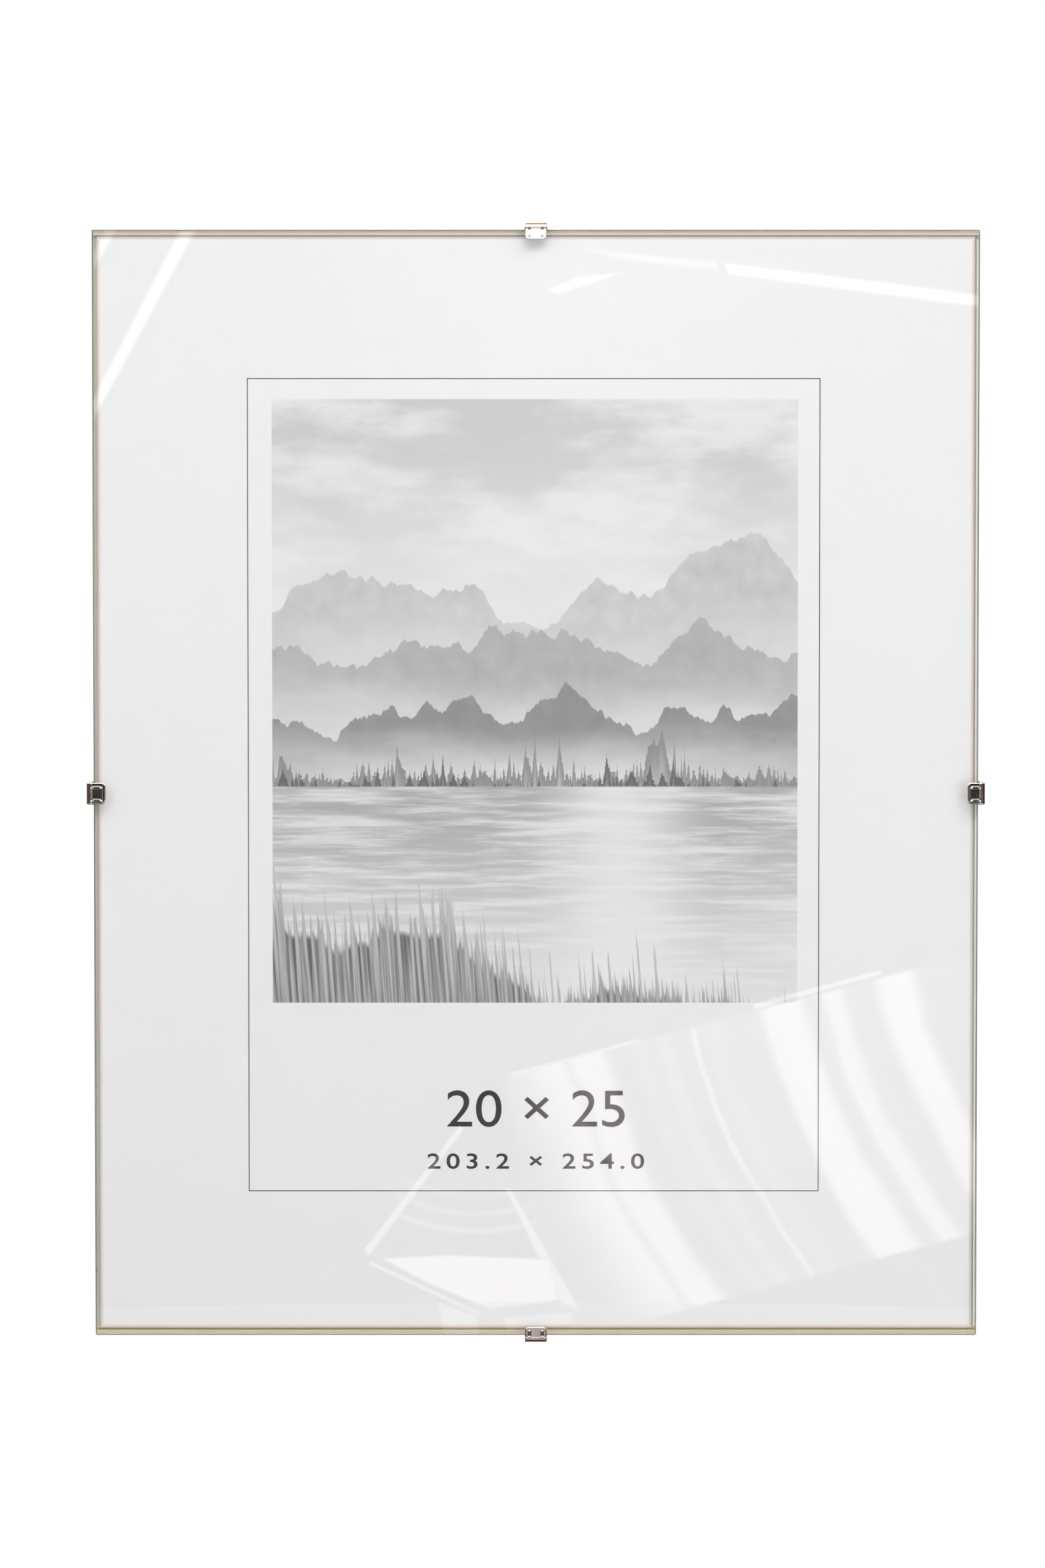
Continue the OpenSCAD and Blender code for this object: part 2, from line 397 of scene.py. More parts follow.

# %% [markdown]
# The back is hardboard, wood fibre pressed hot into a sheet 3 mm thick. Its front is smooth, its
# back keeps the mark of the wire mesh that it was pressed on, and its sawn edges are darker and
# fuzzy. Past the insert its face shows through the rim of the glass, and there it is painted in
# bands, from the edge inwards in millimetres: the board's own tan and khaki and its dark sawn edge,
# and among them painted light and shade, the pale lines and the shadows that the ground edge of
# the glass throws over it. Each side has its own bands.

# %% Colours of the rim, with painted light and shade
RIM_W = 2.0
# The cream and the pale green are painted highlights, and the blue-grey and the dark grey are painted
# shadows, thrown by the ground edge of the glass.
SAWN = (0.20, 0.145, 0.11)
TAN = (0.72, 0.56, 0.44)
HIGHLIGHT_CREAM = (0.98, 0.92, 0.82)
SHADOW_BLUE_GREY = (0.38, 0.38, 0.38)
SAGE = (0.57, 0.57, 0.49)
GREY_GREEN = (0.64, 0.62, 0.55)
HIGHLIGHT_PALE_GREEN = (0.89, 0.97, 0.87)
SHADOW_DARK_GREY = (0.44, 0.44, 0.40)
KHAKI = (0.72, 0.64, 0.45)
UMBER = (0.36, 0.28, 0.18)
RIM_BANDS_WITH_PAINTED_LIGHT = {
    "left": ((0, SAWN), (0.08, SAWN), (0.16, SAGE), (0.70, SAGE), (0.90, GREY_GREEN), (1.2, GREY_GREEN)),
    "right": ((0, SAWN), (0.10, SAWN), (0.18, HIGHLIGHT_PALE_GREEN), (0.52, HIGHLIGHT_PALE_GREEN), (0.62, SHADOW_DARK_GREY),
              (0.86, SHADOW_DARK_GREY), (0.95, TAN)),
    "top": ((0, SAWN), (0.12, SAWN), (0.18, TAN), (0.60, TAN), (0.72, HIGHLIGHT_CREAM), (0.98, HIGHLIGHT_CREAM),
            (1.12, SHADOW_BLUE_GREY), (1.8, SHADOW_BLUE_GREY)),
    "bottom": ((0, SAWN), (0.08, SAWN), (0.18, TAN), (0.34, KHAKI), (0.90, KHAKI),
               (1.10, UMBER), (1.34, UMBER), (1.5, TAN)),
}

# %% Finish the hardboard
MESH_PITCH = 1.3
MESH_RELIEF = 0.12 * MM

board = new_material("hardboard")
tree = board.node_tree
place = panel_place(tree)
across, depth, up = split(place)
fibres = noise(panel_place(tree, (1.0, 3.0, 2.2)), 2.2, 8.0, 0.7)
blotches = noise(place, 0.08, 4.0)
face = mix_colour(fibres, (0.30, 0.235, 0.145), (0.60, 0.50, 0.34))
face = mix_colour(ramp_up(blotches, 0.35, 0.65, 0.0, 0.35), face, (0.46, 0.37, 0.24))
back = mix_colour(fibres, (0.115, 0.062, 0.030), (0.27, 0.16, 0.085))
back = mix_colour(ramp_up(blotches, 0.35, 0.65, 0.0, 0.4), back, (0.30, 0.19, 0.11))
thickness = (board_high.y - board_low.y) / MM
is_back = ramp_up(depth, -thickness * 0.15, -thickness * 0.02)
colour = mix_colour(is_back, face, back)
from_sides = {
    "left": plus(across, panel_half_w),
    "right": minus(panel_half_w, across),
    "top": minus(panel_half_h, up),
    "bottom": plus(up, panel_half_h),
}
is_front = ramp_up(depth, -thickness * 0.85, -thickness * 0.98)
unevenness = mix_colour(fibres, (0.84, 0.84, 0.84), (1.0, 1.0, 1.0))
# Painted light and shade: along the rim, bands of the board's own colours and of painted highlights and
# shadows take the place of the plain face.
for side, from_side in from_sides.items():
    bands = [(inwards / RIM_W, colour_there) for inwards, colour_there in RIM_BANDS_WITH_PAINTED_LIGHT[side]]
    rim_with_painted_light = colour_stops(maths("DIVIDE", from_side, RIM_W), bands)
    rim_with_painted_light = mix_colour(1.0, rim_with_painted_light, unevenness, "MULTIPLY")
    on_rim = times(is_front, ramp_up(from_side, RIM_W, RIM_W * 0.95))
    colour = mix_colour(on_rim, colour, rim_with_painted_light)
rim = depth_in(across, up, panel_half_w, panel_half_h)
on_edge = times(ramp_up(rim, 0.06, 0.02), minus(1.0, is_front))
sawn_edge = mix_colour(fibres, (0.085, 0.055, 0.035), (0.20, 0.14, 0.09))
colour = mix_colour(on_edge, colour, sawn_edge)

turns_per_mm = 2 * math.pi / MESH_PITCH
wires = [maths("SINE", times(line, turns_per_mm)) for line in (across, up)]
mesh_mark = plus(maths("ABSOLUTE", wires[0]), maths("ABSOLUTE", wires[1]))
relief = plus(times(fibres, 0.6), times(mesh_mark, is_back))
worn = ramp_up(fibres, 0.3, 0.7, 0.55, 0.85)
set_finish(board, colour, worn, bump(relief, MESH_RELIEF))

board_piece = frame["nodes"]["backing_board"]
wear_only(board_piece, board)

# %% [markdown]
# The display insert is a sheet of satin card, printed in black only: a thin line frames a soft
# grey picture, with the size in numbers below it. Here the picture is a plain misty lake, built
# from ridges that get darker towards the viewer. Each ridge is one line of noise, and everything
# below the line takes the ridge's grey. Along its cut edges the card has a painted shade, rosy and a
# little darker.

# %% Measures of the print
BORDER_W = 131.3
BORDER_H = 186.9
BORDER_X = -0.5
BORDER_Z = -0.3
LINE_HALF = 0.11
PICTURE_W = 120.8
PICTURE_H = 138.7
PICTURE_SHIFT = 0.3
PICTURE_DROP = 4.7
PICTURE_X = BORDER_X + PICTURE_SHIFT
PICTURE_Z = BORDER_Z + BORDER_H / 2 - PICTURE_DROP - PICTURE_H / 2
PAPER = (0.868, 0.866, 0.884)
INK = (0.035, 0.034, 0.036)
# Painted shade: the card is a little darker and rosier along its cut edges, fading in over about a
# millimetre.
EDGE_SHADE_TINT = (0.80, 0.67, 0.61)
EDGE_SHADE_FADE = 0.95
TOOTH_HIGH = 0.004 * MM
print("card from the panel's edges in mm:", [round(gap / MM, 2) for gap in (
    insert_low.x - board_low.x, board_high.x - insert_high.x,
    board_high.z - insert_high.z, insert_low.z - board_low.z)])


# %% Helpers for the landscape
def line_of_noise(along, frequency, seed, detail):
    position = maths("MULTIPLY_ADD", along, frequency, seed)
    inputs = {"W": position, "Scale": 1.0, "Detail": detail, "Roughness": 0.55}
    return add_node(along.id_data, "ShaderNodeTexNoise", inputs, noise_dimensions="1D").outputs["Fac"]


def grey(level):
    return (level, level * 1.005, level * 1.005)


def add_ridge(picture, u, v, foot, rise, frequency, seed, level, mist):
    """Paints a ridge over the picture, darkest along its top and lost in drifting mist at its foot."""
    crest = maths("MULTIPLY_ADD", line_of_noise(u, frequency, seed, 6.0), rise, foot)
    below = minus(crest, v)
    texture = noise(joined(u, v, seed), 30.0, 6.0)
    drifting = noise(joined(times(u, 2.0), times(v, 7.0), seed), 1.3, 5.0)
    fog_line = maths("MULTIPLY_ADD", drifting, mist, v)
    haze = ramp_up(fog_line, foot + rise * 0.5 + mist * 0.5, foot + mist * 0.35)
    stone = mix_colour(texture, grey(level * 0.8), grey(min(1.0, level * 1.18)))
    stone = mix_colour(haze, stone, grey(0.90))
    return mix_colour(ramp_up(below, -0.001, 0.002), picture, stone)


def add_spruces(picture, u, v, foot, tallest, count, seed, level):
    """Paints a row of spruces: cones of chance heights and spacing, with ragged sides."""
    ragged = noise(joined(u, v, seed), 150.0, 5.0)
    drift = times(line_of_noise(u, 11.0, seed + 5, 2.0), count * 0.10)
    cell = plus(maths("MULTIPLY_ADD", u, count, seed), drift)
    inside = maths("FRACT", cell)
    number = maths("FLOOR", cell)
    dice = add_node(u.id_data, "ShaderNodeTexWhiteNoise", {"W": number}, noise_dimensions="1D")
    grove = ramp_up(line_of_noise(u, 5.0, seed + 9, 2.0), 0.35, 0.65, 0.35, 1.0)
    height = times(ramp_up(dice.outputs["Value"], 0.0, 1.0, tallest * 0.3, tallest), grove)
    off_middle = maths("ABSOLUTE", maths("MULTIPLY_ADD", inside, 2.0, -1.0))
    cone = minus(1.0, maths("POWER", off_middle, 0.6))
    crest = maths("MULTIPLY_ADD", plus(cone, 0.25), height, foot)
    crest = maths("MULTIPLY_ADD", minus(ragged, 0.5), tallest * 0.5, crest)
    below = minus(crest, v)
    tone = mix_colour(ramp_up(below, 0.0, tallest * 1.5), grey(level), grey(level + 0.34))
    return mix_colour(ramp_up(below, -0.001, 0.003), picture, tone)


# %% Compose the landscape
def landscape(u, v):
    """A misty lake among ridges, as a colour for a place from 0 to 1 across and up the picture."""
    sky = mix_colour(ramp_up(v, 0.55, 1.0), grey(0.96), grey(0.70))
    cloud_place = joined(times(u, 2.2), times(v, 6.5), 3.0)
    clouds = ramp_up(noise(cloud_place, 1.6, 7.0, 0.6), 0.38, 0.64, 0.0, 0.9)
    picture = mix_colour(clouds, sky, grey(0.97))
    ridges = (
        (0.52, 0.34, 2.6, 11.3, 0.70, 0.16),
        (0.44, 0.30, 3.4, 27.9, 0.55, 0.16),
        (0.36, 0.24, 4.6, 5.1, 0.36, 0.14),
    )
    for foot, rise, frequency, seed, level, mist in ridges:
        picture = add_ridge(picture, u, v, foot, rise, frequency, seed, level, mist)
    picture = add_spruces(picture, u, v, 0.365, 0.070, 83.0, 13.0, 0.34)
    picture = add_spruces(picture, u, v, 0.350, 0.060, 59.0, 3.0, 0.17)

    shore = 0.36
    depth_below = minus(shore, v)
    ripple_place = joined(times(u, 3.0), times(v, 46.0), 8.0)
    ripples = noise(ripple_place, 1.5, 6.0, 0.6)
    water = mix_colour(ramp_up(depth_below, 0.0, 0.36), grey(0.50), grey(0.88))
    water = mix_colour(ramp_up(ripples, 0.40, 0.66, 0.0, 0.85), water, grey(0.95))
    from_glimmer = maths("ABSOLUTE", minus(u, 0.66))
    water = mix_colour(ramp_up(from_glimmer, 0.20, 0.0, 0.0, 0.8), water, grey(0.98))
    picture = mix_colour(ramp_up(depth_below, -0.001, 0.003), picture, water)

    bank = maths("MULTIPLY_ADD", line_of_noise(u, 3.1, 40.2, 4.0), 0.22, 0.02)
    bank = minus(bank, times(ramp_up(u, 0.15, 0.75), 0.16))
    slanted = maths("MULTIPLY_ADD", v, 14.0, times(u, 160.0))
    reeds = noise(joined(slanted, times(v, 3.0), 1.0), 1.0, 3.0)
    bank_top = maths("MULTIPLY_ADD", ramp_up(reeds, 0.42, 0.75), 0.10, bank)
    below = minus(bank_top, v)
    tone = mix_colour(ramp_up(reeds, 0.3, 0.7), grey(0.14), grey(0.66))
    return mix_colour(ramp_up(below, -0.004, 0.010), picture, tone)


# %% Print the card
insert_paper = new_material("printed_card")
tree = insert_paper.node_tree
place = panel_place(tree)
across, depth, up = split(place)
tooth = noise(place, 4.0, 4.0)
paper = mix_colour(tooth, PAPER, tuple(min(1, c * 1.015) for c in PAPER))

u = ramp_up(across, PICTURE_X - PICTURE_W / 2, PICTURE_X + PICTURE_W / 2)
u.node.interpolation_type = "LINEAR"
v = ramp_up(up, PICTURE_Z - PICTURE_H / 2, PICTURE_Z + PICTURE_H / 2)
v.node.interpolation_type = "LINEAR"
in_picture = depth_in(minus(across, PICTURE_X), minus(up, PICTURE_Z),
                      PICTURE_W / 2, PICTURE_H / 2)
printed = mix_colour(1.0, landscape(u, v), PAPER, "MULTIPLY")
colour = mix_colour(ramp_up(in_picture, -0.05, 0.05), paper, printed)

from_border = maths("ABSOLUTE", depth_in(
    minus(across, BORDER_X), minus(up, BORDER_Z), BORDER_W / 2, BORDER_H / 2))
colour = mix_colour(ramp_up(from_border, LINE_HALF + 0.05, LINE_HALF - 0.05), colour, INK)
card_size = (insert_high - insert_low) / MM
card_x = (insert_low.x + insert_high.x) / 2 / MM
card_z = ((insert_low.z + insert_high.z) / 2 - panel_z) / MM
from_cut = depth_in(
    minus(across, card_x), minus(up, card_z), card_size.x / 2, card_size.z / 2)
# Painted shade along the cut edges of the card, rosy and a little darker.
painted_edge_shade = mix_colour(ramp_up(from_cut, 0.0, EDGE_SHADE_FADE), EDGE_SHADE_TINT, (1.0, 1.0, 1.0))
colour = mix_colour(1.0, colour, painted_edge_shade, "MULTIPLY")
satin = ramp_up(tooth, 0.3, 0.7, 0.42, 0.52)
set_finish(insert_paper, colour, satin, bump(tooth, TOOTH_HIGH))

# %% [markdown]
# The sheet is a box with its corners rounded by a guillotine's wear and its edges broken. It is a
# hair thinner than its CAD solid, so that it touches neither the glass nor the board in the render.

# %% Model the insert
AIR = 0.03 * MM
CARD_CORNER = 0.25 * MM
CARD_BREAK = 0.02 * MM

insert_size = insert_high - insert_low
insert_middle = (insert_low + insert_high) / 2
card = add_block(insert_middle, (insert_size.x, insert_size.y - 2 * AIR, insert_size.z))
round_corners(card, CARD_CORNER, 4)
apply_modifier(card, "BEVEL", width=CARD_BREAK, segments=2, limit_method="ANGLE")
finish_piece(card, "printed_insert", "panel", "printed_paper", insert_paper, "insert_sheet")

# %% [markdown]
# The numbers give the size of the print in centimetres, and below in millimetres. They are the
# only marks on the part. Ink lies on the card as a layer far too thin to feel, so each line of
# numbers is a very thin solid just proud of the card.

# %% Print the numbers
INK_TOP = 0.012 * MM
INK_DEEP = 0.006 * MM

ink = new_material("black_ink")
tree = ink.node_tree
specks = noise(panel_place(tree), 6.0, 5.0)
black = mix_colour(specks, (0.030, 0.027, 0.025), (0.060, 0.054, 0.050))
set_finish(ink, black, ramp_up(specks, 0.3, 0.7, 0.35, 0.5))


def print_numbers(words, name, width, height, base, boldness, spacing):
    """Sets a line of numbers on the card, fitted to its width and height, standing on base."""
    nothing_selected()
    bpy.ops.object.text_add(location=(0, 0, 0), rotation=(math.pi / 2, 0, 0))
    line = bpy.context.object
    line.data.body = words
    line.data.offset = boldness
    line.data.space_character = spacing
    line.data.extrude = 0.5
    line.data.resolution_u = 8
    bpy.ops.object.convert(target="MESH")
    apply_place(line)
    low, high = reach(line)
    wanted = (width * MM, INK_TOP + INK_DEEP, height * MM)
    stretch = [there / here for there, here in zip(wanted, high - low)]
    corner = (-width / 2 * MM, insert_low.y + AIR - INK_TOP, panel_z + base * MM)
    bpy.ops.object.mode_set(mode="EDIT")
    bpy.ops.mesh.select_all(action="SELECT")
    bpy.ops.transform.translate(value=-low)
    bpy.ops.transform.resize(value=stretch, center_override=(0, 0, 0))
    bpy.ops.transform.translate(value=corner)
    bpy.ops.mesh.remove_doubles(threshold=TINY)
    bpy.ops.object.mode_set(mode="OBJECT")
    face_outwards(line)
    finish_piece(line, name, "panel", "printed_paper", ink)


print_numbers("20 × 25", "size_in_centimetres", 41.0, 8.5, -79.0, 0.0, 1.0)
print_numbers("203.2 × 254.0", "size_in_millimetres", 50.0, 3.6, -88.7, 0.012, 1.35)

# %% [markdown]
# A clip is one strip of spring steel, 0.45 mm thick, stamped with two beads and bent in a tool. A
# flat blank is laid out as a grid, with one row of points for each station along the strip's
# middle line. Each row is then lifted to its station and drawn in or out to the strip's width
# there, so the blank takes its bends as the real one does in the press. The blank keeps the
# grid's own UV map, which the brushed finish follows round every bend.

# %% Measures of a clip
CLIP_T = 0.45
NOSE_W = 5.0
NOSE_LAP = 2.8
NOSE_CORNER = 0.9
NOSE_LEAN = 0.35
TIP_LEN = 0.6
TIP_ANGLE = math.radians(18)
BEAD_R = 0.075
BEAD_REACH = 0.36
BEAD_INSETS = (0.25, 0.42, 0.60, 0.80)
BEAD_SPACING = 2.9
WALL_GAP = 1.15
ARM_W = 7.4
ARM_TAPER = 2.2
CROWN_RISE = 3.0
CROWN_INSET = 6.5
HOOK_INSET = 13.0
LEG_W = 4.0
LEG_DEPTH = 2.2
CLIP_GAP = 0.1
RIM_R = 0.225
RIM_STEPS = (0, 0.03, 0.08, 0.15, 0.225, 0.32, 0.43)
THIN_RIM = 0.15
SIDE_DROP = 2.0
NOSE_BEND = 0.9
BACK_DEPTH = 1.2
BACK_BEND = 1.2
CROWN_BEND = 7.0
HOOK_BEND = 0.6
BACK_CORNER = 3
HOOK_CORNER = 5

# %% The middle line of a clip
BEND_STEPS = 9
LONGEST = 0.22

heel_y = glass_front - CLIP_GAP - CLIP_T / 2
heel_u = TIP_LEN - NOSE_LAP
wall_u = WALL_GAP + CLIP_T / 2
clip_corners = (
    (heel_y - TIP_LEN * math.tan(TIP_ANGLE), -NOSE_LAP, 0),
    (heel_y, heel_u, NOSE_BEND),
    (heel_y - NOSE_LEAN, wall_u, NOSE_BEND),
    (BACK_DEPTH, wall_u, BACK_BEND),
    (CROWN_RISE, -CROWN_INSET, CROWN_BEND),
    (CLIP_GAP + CLIP_T / 2, -HOOK_INSET, HOOK_BEND),
    (-LEG_DEPTH, -HOOK_INSET, 0),
)


def stations(corners):
    """Points along a line of [depth, outwards, bend radius], with its corners rounded into arcs."""
    points = [(Vector(corners[0][:2]), 0)]
    for i in range(1, len(corners) - 1):
        before, here, after = (Vector(c[:2]) for c in corners[i - 1:i + 2])
        to_before, to_after = (before - here).normalized(), (after - here).normalized()
        half = to_before.angle(to_after) / 2
        centre = here + (to_before + to_after).normalized() * corners[i][2] / math.sin(half)
        start = here + to_before * corners[i][2] / math.tan(half) - centre
        end = here + to_after * corners[i][2] / math.tan(half) - centre
        for step in range(BEND_STEPS + 1):
            turned = start.slerp(end, step / BEND_STEPS) * corners[i][2]
            points.append((centre + turned, i))
    points.append((Vector(corners[-1][:2]), len(corners) - 1))
    away_from_tip = (points[1][0] - points[0][0]).normalized()
    filled = [(points[0][0] + away_from_tip * step, 0) for step in RIM_STEPS]
    for (here, _), (there, corner) in zip([filled[-1]] + points[1:], points[1:]):
        pieces = max(1, math.ceil((there - here).length / LONGEST))
        filled += [(here.lerp(there, k / pieces), corner) for k in range(1, pieces + 1)]
    return filled


line = stations(clip_corners)
tip_u = line[0][0][1]
print("stations along a clip:", len(line))


# %% The width and the rim of a clip
def half_width(out, corner):
    """Half the strip's width: round corners at the nose, a wide arm behind, and a narrow leg."""
    if corner >= HOOK_CORNER:
        return LEG_W / 2
    if corner >= BACK_CORNER:
        hook_back = -HOOK_INSET - CLIP_T
        stops = ((hook_back, LEG_W / 2), (hook_back + (ARM_W - LEG_W) / 2, ARM_W / 2),
                 (-ARM_TAPER, ARM_W / 2), (WALL_GAP, NOSE_W / 2), (WALL_GAP + CLIP_T * 2, NOSE_W / 2))
        for (low, w_low), (high, w_high) in zip(stops, stops[1:]):
            if low <= out <= high:
                return w_low + (w_high - w_low) * (out - low) / (high - low)
    from_tip = out - tip_u
    if from_tip < NOSE_CORNER:
        inside = NOSE_CORNER - from_tip
        return NOSE_W / 2 - NOSE_CORNER + math.sqrt(max(0.0, NOSE_CORNER ** 2 - inside ** 2))
    return NOSE_W / 2


def rim_share(x, out, corner):
    """How much of its thickness the strip has at x: all of it inside, and less in its rounded rim."""
    from_tip = out - tip_u
    inner_x = NOSE_W / 2 - NOSE_CORNER
    inside = min(half_width(out, corner) - abs(x), from_tip)
    if from_tip < NOSE_CORNER and abs(x) > inner_x:
        inside = NOSE_CORNER - math.hypot(abs(x) - inner_x, NOSE_CORNER - from_tip)
    if inside >= RIM_R:
        return 1.0
    return math.sqrt(1 - (1 - max(0.0, inside) / RIM_R) ** 2)


# %% Press the blank
COLUMNS = 64
BLANK_DEPTH = 0.1

last_row = len(line) - 1
nothing_selected()
bpy.ops.mesh.primitive_grid_add(x_subdivisions=COLUMNS, y_subdivisions=last_row, size=1,
                                location=(0, BLANK_DEPTH, 0), rotation=(math.pi / 2, 0, 0))
clip = bpy.context.object
apply_place(clip)
rim_group = clip.vertex_groups.new(name="rim")
for vertex in clip.data.vertices:
    (depth, out), corner = line[round((vertex.co.z + 0.5) * last_row)]
    x = vertex.co.x * 2 * half_width(out, corner)
    rim_group.add([vertex.index], rim_share(x, out, corner), "REPLACE")
bpy.ops.object.mode_set(mode="EDIT")
for row, ((depth, out), corner) in enumerate(line):
    height = row / last_row - 0.5
    pick_points(clip, lambda co: abs(co.y - BLANK_DEPTH) < TINY and abs(co.z - height) < 10 * TINY)
    width = 2 * half_width(out, corner) * MM
    bpy.ops.transform.resize(value=(width, 1, 1), center_override=(0, 0, 0))
    bpy.ops.transform.translate(value=(0, depth * MM - BLANK_DEPTH, out * MM - height))
bpy.ops.object.mode_set(mode="OBJECT")
print("pressed strip in mm:", [round(length / MM, 2) for length in clip.dimensions])

# %% [markdown]
# The two beads stiffen the nose. Each is raised by four small pushes, every one over a shorter line
# of points than the last, and proportional editing with a smooth falloff carries the neighbours
# along, so a bead is rounded and fades out at its ends. Thickness comes last, so that the beads are
# hollow behind, as pressed ones are. The vertex group thins the strip towards its rim, which rounds
# the sheared edges.

# %% Raise the beads and give the strip its thickness
SMOOTH_BENDS = math.radians(45)
NOSE_DEPTH = 0.1

bead_start = heel_u
bead_end = wall_u - NOSE_BEND
column_pitch = NOSE_W / COLUMNS
push = BEAD_R / len(BEAD_INSETS)


def on_bead(co, middle, inset):
    """True for points of the nose on the line at x = middle, but for inset millimetres at its ends."""
    x, y, z = co / MM
    on_line = abs(x - middle) < column_pitch / 4 and y < heel_y + NOSE_DEPTH
    return on_line and bead_start + inset <= z <= bead_end - inset / 2


for bead_x in (-BEAD_SPACING / 2, BEAD_SPACING / 2):
    middle = round((bead_x + NOSE_W / 2) / column_pitch) * column_pitch - NOSE_W / 2
    for inset in BEAD_INSETS:
        bpy.ops.object.mode_set(mode="EDIT")
        pick_points(clip, lambda co: on_bead(co, middle, inset))
        bpy.ops.transform.translate(
            value=(0, -push * MM, 0), use_proportional_edit=True,
            proportional_edit_falloff="SMOOTH", proportional_size=BEAD_REACH * MM)
        bpy.ops.object.mode_set(mode="OBJECT")
apply_modifier(clip, "SOLIDIFY", thickness=CLIP_T * MM, offset=0, use_even_offset=True,
               vertex_group="rim", thickness_vertex_group=THIN_RIM)
face_outwards(clip)
bpy.ops.object.shade_smooth_by_angle(angle=SMOOTH_BENDS)

# %% [markdown]
# The clips are nickel plated. The strip was rolled and brushed along its length, so fine streaks
# run along it and spread a reflection sideways. The streaks are noise drawn out along the UV map's
# length, and they move the roughness, the relief and a trace of the colour together.

# %% Finish the clips
STREAK_HIGH = 0.0004 * MM

nickel = new_material("brushed_nickel")
tree = nickel.node_tree
uv = add_node(tree, "ShaderNodeTexCoord").outputs["UV"]
streak_place = add_node(tree, "ShaderNodeMapping", {"Vector": uv, "Scale": (60, 2.5, 1)}).outputs["Vector"]
streaks = noise(streak_place, 1.0, 4.0, 0.7)
stain = noise(panel_place(tree), 0.9, 3.0)
metal = principled(nickel)
shine = mix_colour(ramp_up(streaks, 0.3, 0.7), (0.70, 0.685, 0.66), (0.97, 0.96, 0.94))
shine = mix_colour(ramp_up(stain, 0.5, 0.75, 0.0, 0.25), shine, (0.66, 0.60, 0.55))
rubbed = ramp_up(streaks, 0.25, 0.75, 0.06, 0.10)
set_finish(nickel, shine, rubbed, bump(streaks, STREAK_HIGH))
feed(metal, "Tangent", add_node(
    tree, "ShaderNodeTangent", direction_type="UV_MAP", uv_map="UVMap").outputs["Tangent"])
metal.inputs["Metallic"].default_value = 1
metal.inputs["Anisotropic"].default_value = 0.3

# %% [markdown]
# The four clips come from one tool, but each was bent over the glass by hand. Their noses lap it
# by between 1.9 and 2.8 mm, so each copy's nose is drawn in to its own length.

# %% Put a clip at the middle of each side
edge_places = {
    "top": (Vector((0, 0, board_high.z)), 0),
    "bottom": (Vector((0, 0, board_low.z)), math.pi),
    "left": (Vector((board_low.x, 0, panel_z - SIDE_DROP * MM)), -math.pi / 2),
    "right": (Vector((board_high.x, 0, panel_z - SIDE_DROP * MM)), math.pi / 2),
}
nose_laps = {"top": 2.2, "bottom": 1.9, "left": 2.8, "right": 2.45}
for side, (place, turn) in edge_places.items():
    copy = copy_of(clip)
    bpy.ops.object.mode_set(mode="EDIT")
    pick_points(copy, lambda co: co.z < 0 and co.y / MM < glass_front)
    bpy.ops.transform.resize(value=(1, 1, nose_laps[side] / NOSE_LAP), center_override=(0, 0, 0))
    bpy.ops.object.mode_set(mode="OBJECT")
    put_down(copy, place, turn)
    finish_piece(copy, f"spring_clip_{side}", f"{side}_clip", "clip_steel", nickel, f"clip_{side}")
    low, high = reach(copy)
    in_cad_low, in_cad_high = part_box(f"clip_{side}")
    print("stands proud of its CAD clip by, in mm:",
          [round((a - b) / MM, 2) for a, b in zip(in_cad_low, low)],
          [round((b - a) / MM, 2) for a, b in zip(in_cad_high, high)])
bpy.data.objects.remove(clip)

# %% [markdown]
# A keyhole plate is punched from zinc-plated sheet: round corners, a round entry that passes the
# head of a wall screw, and above it a slot for the screw's neck. Here a block is cut with tools
# of the same shapes, and its edges are broken as tumbling breaks them.

# %% Measures of a keyhole plate
PLATE_T = 1.0
PLATE_W = 36.0
PLATE_CORNER = 4.0
PLATE_TOP = 14.5
PLATE_BOTTOM = -7.5
ENTRY_R = 4.0
NECK_W = 4.4
NECK_RISE = 7.0
RIVET_X = 13.0
RIVET_Z = 3.5
RIVET_HOLE_R = 1.55
PLATE_BREAK = 0.14
BROKEN_ANGLE = math.radians(50)
HARD_EDGE = math.radians(35)


# %% Punch the plates
def cut(plate, tool):
    apply_modifier(plate, "BOOLEAN", operation="DIFFERENCE", object=tool, solver="EXACT")
    bpy.data.objects.remove(tool)


def punch(plate, radius, x, z):
    """Cuts a round hole through a plate."""
    nothing_selected()
    bpy.ops.mesh.primitive_cylinder_add(
        vertices=64, radius=radius * MM, depth=4 * PLATE_T * MM,
        location=(x * MM, PLATE_T / 2 * MM, z * MM), rotation=(math.pi / 2, 0, 0))
    tool = bpy.context.object
    apply_place(tool)
    cut(plate, tool)


plate = add_block((0, PLATE_T / 2 * MM, (PLATE_TOP + PLATE_BOTTOM) / 2 * MM),
                  (PLATE_W * MM, PLATE_T * MM, (PLATE_TOP - PLATE_BOTTOM) * MM))
round_corners(plate, PLATE_CORNER * MM, 12)
punch(plate, NECK_W / 2, 0, NECK_RISE)
slot = add_block((0, PLATE_T / 2 * MM, NECK_RISE / 2 * MM),
                 (NECK_W * MM, 4 * PLATE_T * MM, NECK_RISE * MM))
cut(plate, slot)
punch(plate, ENTRY_R, 0, 0)
for side in (-1, 1):
    punch(plate, RIVET_HOLE_R, side * RIVET_X, RIVET_Z)
apply_modifier(plate, "BEVEL", width=PLATE_BREAK * MM, segments=3, limit_method="ANGLE",
               angle_limit=BROKEN_ANGLE)
bpy.ops.object.shade_smooth_by_angle(angle=HARD_EDGE)

# %% [markdown]
# A rivet is turned on a lathe of circles: one ring is extruded and drawn in or out, ring by ring,
# from the tail that is spread into the board, up the shank, and over the domed head.

